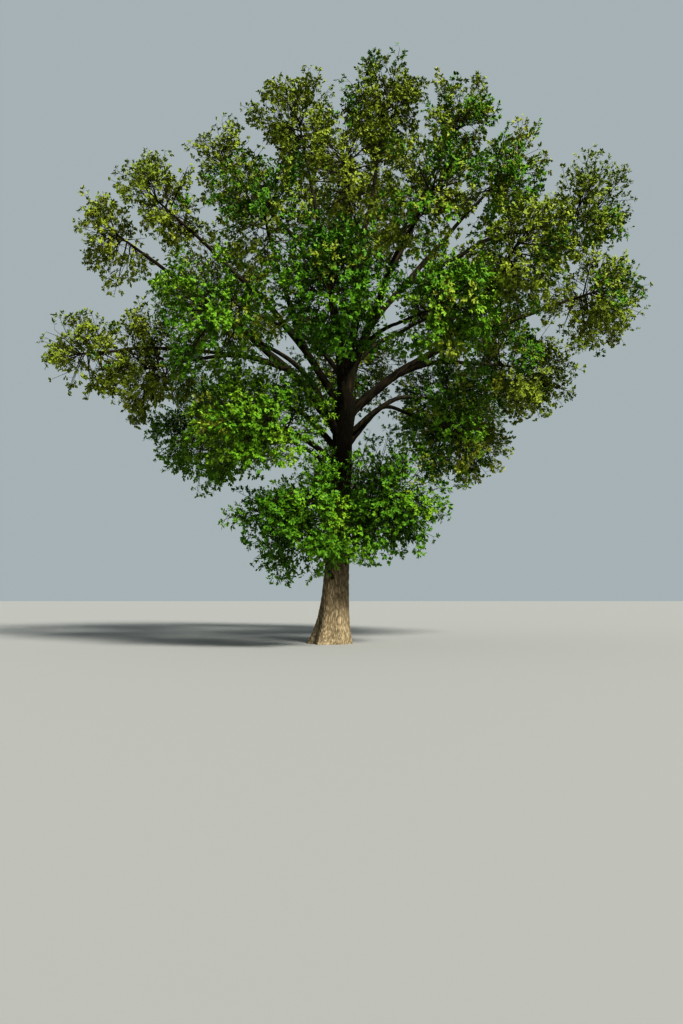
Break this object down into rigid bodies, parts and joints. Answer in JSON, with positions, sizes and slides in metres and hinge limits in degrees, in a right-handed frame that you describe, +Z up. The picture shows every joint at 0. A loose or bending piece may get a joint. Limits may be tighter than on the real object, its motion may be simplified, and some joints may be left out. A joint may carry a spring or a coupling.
{
  "type": "oak tree",
  "caption": "Mature open-grown oak in spring leaf: leaning trunk with root flare, a high fork, spreading boughs and a broad, irregular domed crown of twigs and leaf sprays.",
  "frame": {"origin": "centre of the flat cut under the trunk, at ground level", "axes": "+Z up the trunk, +X to the right and +Y away from someone who faces the tree as in the picture"},
  "size_m": [21.6802, 17.9824, 21.8995],
  "materials": {
    "bark": "rough furrowed bark",
    "foliage": "matt leaves"
  },
  "bodies": {
    "root": {"trunk": "bark", "bough_left_tip_mid": "bark", "bough_left_low": "bark", "bough_left_tip_low": "bark", "bough_left_high": "bark", "bough_left_shoulder": "bark", "bough_top_left": "bark", "bough_top": "bark", "bough_top_right": "bark", "bough_right_shoulder": "bark", "bough_right_high": "bark", "bough_right_tip": "bark", "bough_right_low": "bark", "bough_low_right": "bark", "bough_front_right_high": "bark", "bough_front_high": "bark", "bough_front_left_high": "bark", "bough_front_left": "bark", "bough_front": "bark", "bough_front_right": "bark", "bough_low_left": "bark", "bough_low_front_left": "bark", "bough_front_top": "bark", "bough_back_left_low": "bark", "bough_back_right_low": "bark", "bough_back": "bark", "bough_back_left": "bark", "bough_back_right": "bark", "bough_back_high": "bark", "leaves_left_tip_mid": "foliage", "leaves_left_low": "foliage", "leaves_left_tip_low": "foliage", "leaves_left_high": "foliage", "leaves_left_shoulder": "foliage", "leaves_top_left": "foliage", "leaves_top": "foliage", "leaves_top_right": "foliage", "leaves_right_shoulder": "foliage", "leaves_right_high": "foliage", "leaves_right_tip": "foliage", "leaves_right_low": "foliage", "leaves_low_right": "foliage", "leaves_front_right_high": "foliage", "leaves_front_high": "foliage", "leaves_front_left_high": "foliage", "leaves_front_left": "foliage", "leaves_front": "foliage", "leaves_front_right": "foliage", "leaves_low_left": "foliage", "leaves_low_front_left": "foliage", "leaves_low_front": "foliage", "leaves_low_front_right": "foliage", "leaves_front_top": "foliage", "leaves_back_low": "foliage", "leaves_back_left_low": "foliage", "leaves_back_right_low": "foliage", "leaves_back": "foliage", "leaves_back_left": "foliage", "leaves_back_right": "foliage", "leaves_back_high": "foliage"}
  },
  "joints": []
}
